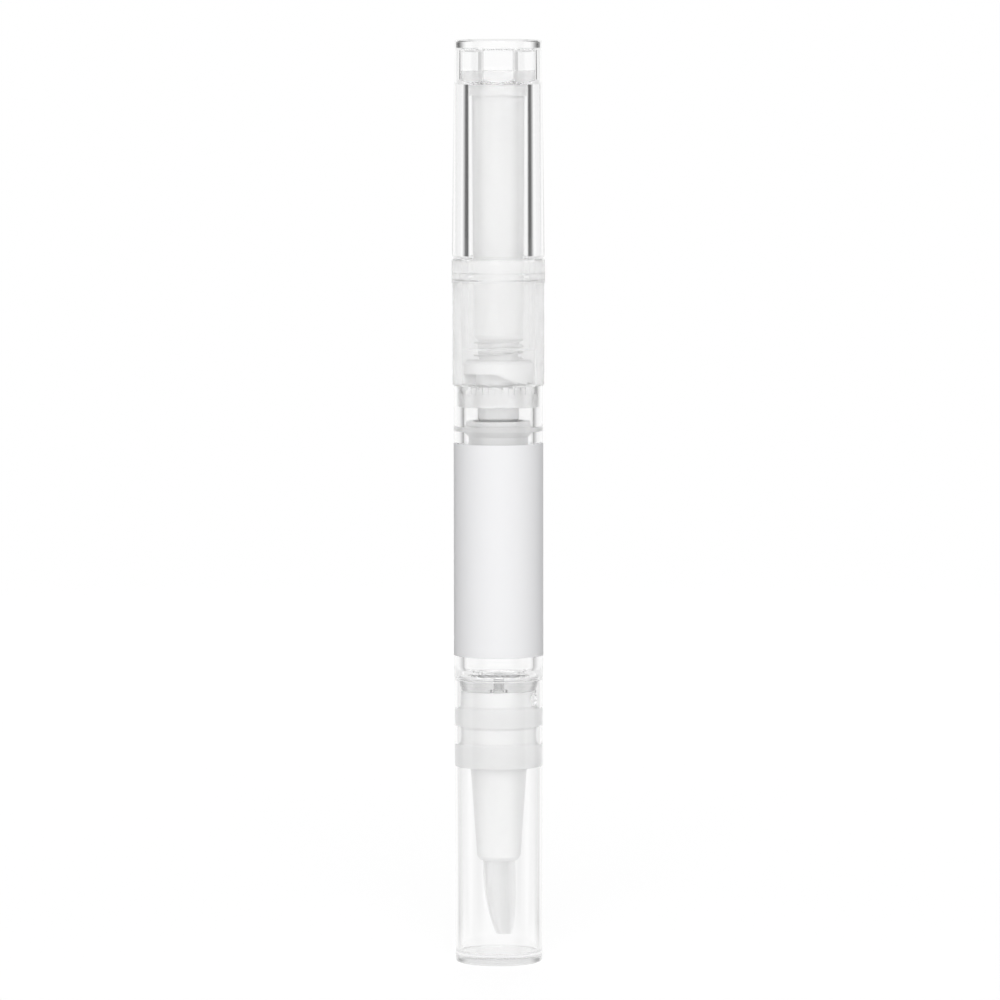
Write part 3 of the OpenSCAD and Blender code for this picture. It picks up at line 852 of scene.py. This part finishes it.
@dataclass
class Piston:
    """The soft piston, whose two lips press on the wall of the oil bore."""

    lip_r_mm: float = 4.665
    lip_h_mm: float = 0.8
    lip_deg: float = 45.0
    crown_deg: float = 60.0
    slope_mm: float = 0.6
    waist_r_mm: float = 4.0
    rim_r_mm: float = 4.3
    rim_h_mm: float = 0.7
    rounding_mm: float = 0.15
    cup_r_mm: float = 3.4
    foot_r_mm: float = 1.75
    foot_neck_r_mm: float = 1.25
    foot_z_mm: Triple = (1.3, 2.36, 3.1)

    def build(self, finishes: Finishes) -> None:
        """Turns the piston in place of its CAD node.

        Args:
            finishes: the pen's finishes.
        """
        low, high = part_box("piston")
        piston = turned(self._outline(low.z / MM, high.z / MM))
        finish_piece(piston, "soft_piston", Body.PISTON, finishes.milky)
        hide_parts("piston")

    def _outline(self, bottom: float, top: float) -> list[Point]:
        """The piston's outline from the middle of its crown round to its socket.

        Args:
            bottom: height of the crown in millimetres.
            top: height of the rim in millimetres.

        Returns:
            Its points.
        """
        waist, rounding = self.waist_r_mm, self.rounding_mm
        lip_x = self.lip_r_mm - rounding
        low_lip = bottom + self.slope_mm / 2.0
        low_lip_end = low_lip + self.lip_h_mm
        rim_z = top - self.rim_h_mm
        high_lip = rim_z - self.lip_h_mm
        foot_low, foot_high, cup = (bottom + z for z in self.foot_z_mm)
        few = SMALL_ARC_STEPS
        return [
            (0.0, bottom),
            (self.lip_r_mm - self.slope_mm, bottom),
            *arc(lip_x, low_lip + rounding, rounding, -self.crown_deg, OUT, few),
            *arc(lip_x, low_lip_end - rounding, rounding, OUT, self.lip_deg, few),
            (waist, low_lip_end + self.slope_mm),
            (waist, high_lip - self.slope_mm),
            *arc(lip_x, high_lip + rounding, rounding, -self.lip_deg, OUT, few),
            *arc(lip_x, rim_z - rounding, rounding, OUT, UP, few),
            (self.rim_r_mm, rim_z),
            *arc(self.rim_r_mm - rounding, top - rounding, rounding, OUT, UP, few),
            *arc(self.cup_r_mm + rounding, top - rounding, rounding, UP, IN, few),
            (self.cup_r_mm, cup),
            (self.foot_neck_r_mm, cup),
            (self.foot_neck_r_mm, foot_high),
            (self.foot_r_mm, foot_high),
            (self.foot_r_mm, foot_low),
            (0.0, foot_low),
        ]


@dataclass
class ScrewRod:
    """The screw rod: a right-hand thread cut to two flats, on its snap foot."""

    crest_r_mm: float = 1.9
    root_r_mm: float = 1.62
    lead_mm: float = 2.0
    crest_mm: float = 0.55
    flank_mm: float = 0.35
    flat_w_mm: float = 2.7
    steps_per_turn: int = 40
    foot_r_mm: float = 1.7
    foot_h_mm: float = 1.0
    foot_bevel_mm: float = 0.3
    foot_rounding_mm: float = 0.1
    foot_steps: int = 48
    neck_r_mm: float = 1.2
    neck_h_mm: float = 0.8
    overlap_mm: float = 0.1

    def build(self, finishes: Finishes) -> None:
        """Cuts the thread and puts it on its foot, in place of the plain CAD rod.

        Args:
            finishes: the pen's finishes.
        """
        low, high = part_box("screw_rod")
        bottom, top = low.z / MM, high.z / MM
        foot_top = bottom + self.foot_h_mm
        thread_z = bottom + self.foot_h_mm + self.neck_h_mm
        rounding = self.foot_rounding_mm
        thread = self._thread(thread_z, top)
        foot = turned([
            (0.0, bottom),
            (self.foot_r_mm - self.foot_bevel_mm, bottom),
            (self.foot_r_mm, bottom + self.foot_bevel_mm),
            *arc(
                self.foot_r_mm - rounding, foot_top - rounding, rounding,
                OUT, UP, SMALL_ARC_STEPS,
            ),
            (self.neck_r_mm, foot_top),
            (self.neck_r_mm, thread_z + self.overlap_mm),
            (0.0, thread_z + self.overlap_mm),
        ], self.foot_steps)
        rod = join([thread, foot])
        finish_piece(rod, "threaded_rod", Body.ROD, finishes.white)
        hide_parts("screw_rod")

    def _thread(self, bottom: float, top: float) -> Piece:
        """Screws the thread's outline up the rod and cuts its ends and flats.

        Args:
            bottom: height of the thread's lower end in millimetres.
            top: height of its upper end.

        Returns:
            The threaded bar.
        """
        start = bottom - self.lead_mm
        flank_end = self.crest_mm + self.flank_mm
        next_flank = self.lead_mm - self.flank_mm
        thread = drawn([
            (self.crest_r_mm, start),
            (self.crest_r_mm, start + self.crest_mm),
            (self.root_r_mm, start + flank_end),
            (self.root_r_mm, start + next_flank),
            (self.crest_r_mm, start + self.lead_mm),
        ])
        apply_modifier(
            thread, "SCREW", axis="Z", angle=FULL_TURN, screw_offset=self.lead_mm * MM,
            iterations=math.ceil((top - start) / self.lead_mm) + 1,
            steps=self.steps_per_turn, render_steps=self.steps_per_turn,
            use_merge_vertices=True, merge_threshold=WELD,
        )
        edit_all(thread)
        bpy.ops.mesh.remove_doubles(threshold=WELD)
        half = self.flat_w_mm / 2.0 * MM
        for place, outward in (
            ((0.0, 0.0, bottom * MM), (0.0, 0.0, -1.0)),
            ((0.0, 0.0, top * MM), (0.0, 0.0, 1.0)),
            ((0.0, half, 0.0), (0.0, 1.0, 0.0)),
            ((0.0, -half, 0.0), (0.0, -1.0, 0.0)),
        ):
            bpy.ops.mesh.select_all(action="SELECT")
            bpy.ops.mesh.bisect(
                plane_co=place, plane_no=outward,
                use_fill=True, clear_outer=True, threshold=WELD,
            )
        return tidy_shell(thread)


@dataclass
class RatchetSpring:
    """The small coil spring over the rotor, wound from round wire."""

    coil_r_mm: float = 3.2
    wire_r_mm: float = 0.15
    coils: int = 3
    wire_sides: int = 12
    steps_per_coil: int = 40

    def build(self, finishes: Finishes) -> None:
        """Winds the spring in place of its CAD node.

        Args:
            finishes: the pen's finishes.
        """
        low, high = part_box("ratchet_spring")
        wire_z = low.z / MM + self.wire_r_mm
        rise = (high.z - low.z) / MM - 2.0 * self.wire_r_mm
        round_deg = math.degrees(FULL_TURN)
        spring = drawn(
            arc(self.coil_r_mm, wire_z, self.wire_r_mm, OUT, round_deg, self.wire_sides)
        )
        apply_modifier(
            spring, "SCREW", axis="Z", angle=FULL_TURN, screw_offset=rise / self.coils * MM,
            iterations=self.coils, steps=self.steps_per_coil, render_steps=self.steps_per_coil,
        )
        tidy_shell(spring)
        finish_piece(spring, "wound_spring", Body.KNOB, finishes.steel)
        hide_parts("ratchet_spring")


@dataclass
class Brush:
    """The fibre tuft on its fused root, slightly bent, in place of the CAD tuft."""

    tuft_r_mm: float = 2.19
    fibres: int = 1000
    fibre_d_mm: float = 0.115
    sides: int = 5
    smooth_deg: float = 60.0
    root_t_mm: float = 0.8
    root_bevel_mm: float = 0.08
    root_steps: int = 48
    hollow_mm: float = 0.35
    ragged_shares: Point = (0.6, 0.4)
    ragged_turn: float = 12.9898
    bend_mm: float = 0.7
    level_shares: tuple[float, ...] = (0.0, 0.345, 0.55, 0.664, 0.766, 0.869, 1.0)
    past_end_share: float = 2.0
    width_shares: tuple[float, ...] = (1.0, 1.0, 0.957, 0.894, 0.807, 0.696, 0.49)
    bend_shares: tuple[float, ...] = (0.0, 0.11, 0.3, 0.45, 0.6, 0.78, 1.0)

    def build(self, finishes: Finishes) -> None:
        """Builds the tuft and puts it in place of its CAD node.

        Args:
            finishes: the pen's finishes.
        """
        low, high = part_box("bristle_tuft")
        root_z = high.z - self.root_t_mm * MM / 2.0
        length = root_z - low.z
        first = self._one_fibre(length)
        copies = [self._placed(first, i, root_z, length) for i in range(self.fibres)]
        bpy.data.objects.remove(first)
        tuft = join(copies)
        place_in_mesh(tuft)
        self._shape(tuft, root_z, length)
        smooth(tuft, self.smooth_deg)
        tuft = join([tuft, self._root(high)])
        finish_piece(tuft, "brush_fibres", Body.PEN, finishes.fibre)
        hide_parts("bristle_tuft")

    def _one_fibre(self, length: float) -> Piece:
        """Models one straight fibre that hangs from the origin, with a ring at each level.

        Args:
            length: the fibre's length.

        Returns:
            The fibre.
        """
        deselect_all()
        bpy.ops.mesh.primitive_cylinder_add(
            vertices=self.sides, radius=self.fibre_d_mm * MM / 2.0, depth=length,
            location=(0.0, 0.0, -length / 2.0),
        )
        fibre = bpy.context.active_object
        place_in_mesh(fibre)
        edit_all(fibre)
        for share in self.level_shares[1:-1]:
            bpy.ops.mesh.select_all(action="SELECT")
            bpy.ops.mesh.bisect(plane_co=(0.0, 0.0, -length * share), plane_no=(0.0, 0.0, 1.0))
        deselect_all()
        return fibre

    def _placed(self, first: Piece, number: int, root_z: float, length: float) -> Piece:
        """Copies the first fibre to its place on the tuft's spiral.

        Args:
            first: the modelled fibre.
            number: which fibre this is.
            root_z: height of the roots.
            length: length of the longest fibres.

        Returns:
            The copy, with its own mesh.
        """
        copy = first.copy()
        copy.data = first.data.copy()
        bpy.context.collection.objects.link(copy)
        share = math.sqrt((number + 0.5) / self.fibres)
        out = share * (self.tuft_r_mm - self.fibre_d_mm / 2.0) * MM
        angle = number * GOLDEN_ANGLE
        even, uneven = self.ragged_shares
        ragged = even + uneven * math.sin(number * self.ragged_turn)
        copy.location = (out * math.cos(angle), out * math.sin(angle), root_z)
        copy.rotation_euler.z = angle
        copy.scale.z = 1.0 - self.hollow_mm * MM * (1.0 - share) * ragged / length
        return copy

    def _shape(self, tuft: Piece, root_z: float, length: float) -> None:
        """Draws the tuft in and bends it, level by level.

        Args:
            tuft: the joined straight fibres.
            root_z: height of the roots.
            length: length of the longest fibres.
        """
        shares = self.level_shares
        edges = [(a + b) / 2.0 for a, b in zip(shares, shares[1:])] + [self.past_end_share]
        for i in range(1, len(shares)):
            low, high = (root_z - edges[j] * length for j in (i, i - 1))
            edit_points(tuft, lambda place: low < place.z < high)
            width = self.width_shares[i]
            bpy.ops.transform.resize(value=(width, width, 1.0), center_override=(0.0, 0.0, 0.0))
            bend = self.bend_mm * self.bend_shares[i] * MM
            bpy.ops.transform.translate(value=(bend, 0.0, 0.0))
        deselect_all()

    def _root(self, high: Vector) -> Piece:
        """Turns the fused root disc.

        Args:
            high: the highest corner of the CAD tuft, which gives the disc's radius and top.

        Returns:
            The disc.
        """
        radius, top, bevel = high.x / MM, high.z / MM, self.root_bevel_mm
        bottom = top - self.root_t_mm
        return turned([
            (0.0, bottom), (radius - bevel, bottom), (radius, bottom + bevel),
            (radius, top - bevel), (radius - bevel, top), (0.0, top),
        ], self.root_steps)


@dataclass
class Studio:
    """Camera, floor, lamps and the light of the room.

    Clear plastic shows a white surface between dark flags, which draws its edges. The
    stops give the grey at each share of a level direction that points along Y.
    """

    image_px: int = 1000
    mm_per_px: float = 0.13409
    distance_mm: float = 840.0
    eye_z_mm: float = 123.2
    middle_z_mm: float = 62.2
    axis_px: float = 498.5
    lean_deg: float = -0.05
    sensor_mm: float = 36.0
    clip_m: Point = (0.01, 100.0)
    floor_r_mm: float = 4000.0
    floor_gap_mm: float = 0.02
    floor_sides: int = 96
    floor_paint: float = 0.98
    floor_glow: float = 0.8
    white_from_mm: Point = (80.0, 600.0)
    flags_from_mm: Point = (8.0, 40.0)
    dark_from_mm: Point = (600.0, 2000.0)
    near_stops: tuple[Point, ...] = (
        (0.0, 1.0), (0.242, 1.0), (0.36, 0.5), (0.545, 0.5), (0.86, 1.0)
    )
    flag_stops: tuple[Point, ...] = (
        (0.0, 1.0), (0.242, 1.0), (0.36, 0.04), (0.545, 0.04), (0.788, 1.0)
    )
    steep_stops: tuple[Point, ...] = ((0.25, 0.0), (0.5, 1.0))
    tiny: float = 0.00001
    room_light: float = 0.29
    ceiling_light: float = 0.7
    haze_light: float = 1.0
    inside_light: float = 1.4
    deep_light: float = 3.4
    deep_from: float = 5.5
    lamp_light: float = 0.55
    back_light: float = 0.22
    lamp_size_mm: Point = (560.0, 420.0)
    lamp_distance_mm: float = 1100.0
    lamp_height_deg: float = 16.0
    clear_bounces: int = 24
    see_through_bounces: int = 32
    gloss_bounces: int = 8

    def build(self) -> None:
        """Builds the whole studio."""
        self._camera()
        self._floor()
        self._lamp("front_lamp", self.lamp_light, -1.0)
        back = self._lamp("back_lamp", self.back_light, 1.0)
        back.visible_camera = False
        back.visible_glossy = False
        self._room()
        bpy.context.scene.view_settings.view_transform = "Standard"
        cycles = bpy.context.scene.cycles
        cycles.max_bounces = self.clear_bounces
        cycles.transmission_bounces = self.clear_bounces
        cycles.transparent_max_bounces = self.see_through_bounces
        cycles.glossy_bounces = self.gloss_bounces

    def _camera(self) -> None:
        """Sets the camera at the photograph's viewing angle and distance."""
        data = bpy.data.cameras.new("studio_camera")
        camera = bpy.data.objects.new("studio_camera", data)
        bpy.context.collection.objects.link(camera)
        side = (self.image_px / 2 - self.axis_px) * self.mm_per_px * MM
        camera.location = (side, -self.distance_mm * MM, self.eye_z_mm * MM)
        drop = math.atan((self.eye_z_mm - self.middle_z_mm) / self.distance_mm)
        tilt = Matrix.Rotation(math.radians(90.0) - drop, 4, "X")
        lean = Matrix.Rotation(math.radians(self.lean_deg), 4, "Z")
        camera.rotation_euler = (tilt @ lean).to_euler()
        depth = math.hypot(self.distance_mm, self.eye_z_mm - self.middle_z_mm)
        data.sensor_width = self.sensor_mm
        data.lens = self.sensor_mm * depth / (self.image_px * self.mm_per_px)
        data.clip_start, data.clip_end = self.clip_m
        bpy.context.scene.camera = camera

    def _floor(self) -> None:
        """Lays the pale floor, which shows white, keeps the shadow and hides nothing below."""
        deselect_all()
        bpy.ops.mesh.primitive_circle_add(
            vertices=self.floor_sides, radius=self.floor_r_mm * MM, fill_type="NGON",
            location=(0.0, 0.0, -self.floor_gap_mm * MM),
        )
        floor = bpy.context.active_object
        floor.name = "studio_floor"
        place_in_mesh(floor)
        floor.data.materials.append(self._floor_material())

    def _floor_material(self) -> bpy.types.Material:
        """Mixes paint, which takes the shadow, with a window for the camera and a glow.

        Returns:
            The material.
        """
        material = bpy.data.materials.new("studio_floor")
        graph = Graph(material)
        path = graph.path()
        place = graph.place()
        level = (place["X"] * place["X"] + place["Y"] * place["Y"]) ** 0.5
        flags = self._floor_flags(graph, place["Y"], level)
        seen = self._seen(graph, path, flags, self._inside(graph, path))
        glow = graph.add("ShaderNodeEmission", {}, {"Color": seen})
        far = graph.between(level, self.white_from_mm)
        tint = graph.mix(far, grey(self._near_white()), WHITE)
        window = graph.add("ShaderNodeBsdfTransparent", {}, {"Color": tint})
        light = graph.blend(path["Is Camera Ray"], glow, window)
        paint = graph.add("ShaderNodeBsdfDiffuse", {}, {"Color": grey(self.floor_paint)})
        windowed = path["Is Camera Ray"] * (far * (1.0 - self.floor_glow) + self.floor_glow)
        through = graph.maths("MAXIMUM", graph.clear_ray(path), path["Is Transmission Ray"])
        share = graph.maths("MAXIMUM", windowed, through)
        mixed = graph.blend(share, paint, light)
        graph.add("ShaderNodeOutputMaterial", {}, {"Surface": mixed})
        return material

    def _near_white(self) -> float:
        """Works out the window's tint near the pen.

        Returns:
            The grey that comes out white together with the paint's share of light.
        """
        slant = math.tan(math.radians(self.lamp_height_deg))
        lamps = slant * (self.lamp_light + self.back_light)
        own_light = self.floor_paint * (self.room_light + lamps)
        return (1.0 - (1.0 - self.floor_glow) * own_light) / self.floor_glow

    def _flags(self, graph: Graph, y: Wire, level: Wire, stops: tuple[Point, ...]) -> Wire:
        """Shows a white surface between flags.

        Args:
            graph: the nodes of the floor or the room.
            y: the direction's part along Y.
            level: the length of its level part.
            stops: the flags' places and greys.

        Returns:
            The grey.
        """
        ahead = graph.maths("ABSOLUTE", y) / graph.maths("MAXIMUM", level, self.tiny)
        return graph.ramp(ahead, stops)

    def _floor_flags(self, graph: Graph, y: Wire, level: Wire) -> Wire:
        """Lays the floor's flags, pale near the pen and dark far out.

        Args:
            graph: the floor's nodes.
            y: the point's place along Y.
            level: its distance from the pen's axis.

        Returns:
            The floor's grey.
        """
        pale = self._flags(graph, y, level, self.near_stops)
        dark = self._flags(graph, y, level, self.flag_stops)
        flags = graph.mix(graph.between(level, self.dark_from_mm), pale, dark)
        return graph.mix(graph.between(level, self.flags_from_mm), WHITE, flags)

    def _inside(self, graph: Graph, path: Wire) -> Wire:
        """Lights the pieces behind clear walls, more strongly behind several.

        Args:
            graph: the nodes of the floor or the room.
            path: the ray's facts.

        Returns:
            The light.
        """
        walls = graph.maths("GREATER_THAN", path["Transmission Depth"], self.deep_from)
        return graph.mix(walls, grey(self.inside_light), grey(self.deep_light))

    def _seen(self, graph: Graph, path: Wire, around: Wire, other: Wire) -> Wire:
        """Chooses what a ray sees of the floor or the room.

        Args:
            graph: the nodes of the floor or the room.
            path: the ray's facts.
            around: what rays through polished plastic see; through frosted it is a haze.
            other: what scattered rays see.

        Returns:
            The light.
        """
        sharp = graph.mix(path["Is Singular Ray"], grey(self.haze_light), around)
        return graph.mix(graph.clear_ray(path), other, sharp)

    def _lamp(self, name: str, light: float, side: float) -> Piece:
        """Hangs a large soft lamp above the pen's middle height.

        Args:
            name: the lamp's name.
            light: how bright it makes a white wall that faces the pen's front or back.
            side: -1 in front of the pen and 1 behind it.

        Returns:
            The lamp, which clear plastic doesn't show.
        """
        data = bpy.data.lights.new(name, "AREA")
        data.shape = "RECTANGLE"
        data.size, data.size_y = (size * MM for size in self.lamp_size_mm)
        rise = math.radians(self.lamp_height_deg)
        away = self.lamp_distance_mm * MM
        data.energy = light * math.pi * math.pi * away**2 / math.cos(rise)
        lamp = bpy.data.objects.new(name, data)
        bpy.context.collection.objects.link(lamp)
        middle = Vector((0.0, 0.0, self.middle_z_mm * MM))
        lamp.location = middle + away * Vector((0.0, side * math.cos(rise), math.sin(rise)))
        lamp.rotation_euler = (lamp.location - middle).to_track_quat("Z", "Y").to_euler()
        lamp.visible_transmission = False
        return lamp

    def _room(self) -> None:
        """Lights the room evenly, and shows clear plastic a white wall between dark flags."""
        world = bpy.data.worlds.new("studio_room")
        bpy.context.scene.world = world
        graph = Graph(world)
        path = graph.path()
        way = graph.add("ShaderNodeTexCoord")["Generated"]
        parts = graph.add("ShaderNodeSeparateXYZ", {}, {"Vector": way})
        x, y = parts["X"], parts["Y"]
        wall = self._flags(graph, y, (x * x + y * y) ** 0.5, self.flag_stops)
        steep = graph.ramp(graph.maths("ABSOLUTE", parts["Z"]), self.steep_stops)
        around = graph.mix(steep, wall, grey(self.ceiling_light))
        inside = self._inside(graph, path)
        plain = graph.mix(path["Is Transmission Ray"], grey(self.room_light), inside)
        light = self._seen(graph, path, around, plain)
        shown = graph.mix(path["Is Camera Ray"], light, WHITE)
        sky = graph.add("ShaderNodeBackground", {}, {"Color": shown})
        graph.add("ShaderNodeOutputWorld", {}, {"Surface": sky})


def main() -> None:
    """Dresses the frame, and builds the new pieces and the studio."""
    logging.basicConfig(level=logging.INFO, format="%(name)s: %(message)s")
    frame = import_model()
    finishes = Finishes()
    dress(frame, finishes.clear, "knob", "end_plug")
    dress(frame, finishes.cap, "cap")
    dress(frame, finishes.barrel, "barrel")
    dress(frame, finishes.frosted, "housing")
    dress(frame, finishes.white, "feed_tube", "brush_ferrule", "thread_nut", "ratchet_ring")
    # The drive sleeve takes the copy of white polypropylene darkened as painted shade.
    dress(frame, finishes.sleeve, "drive_sleeve")
    dress(frame, finishes.acetal, "ratchet_rotor")
    for part in (Label(), Nozzle(), Piston(), ScrewRod(), RatchetSpring(), Brush()):
        part.build(finishes)
    Studio().build()


if __name__ == "__main__":
    main()
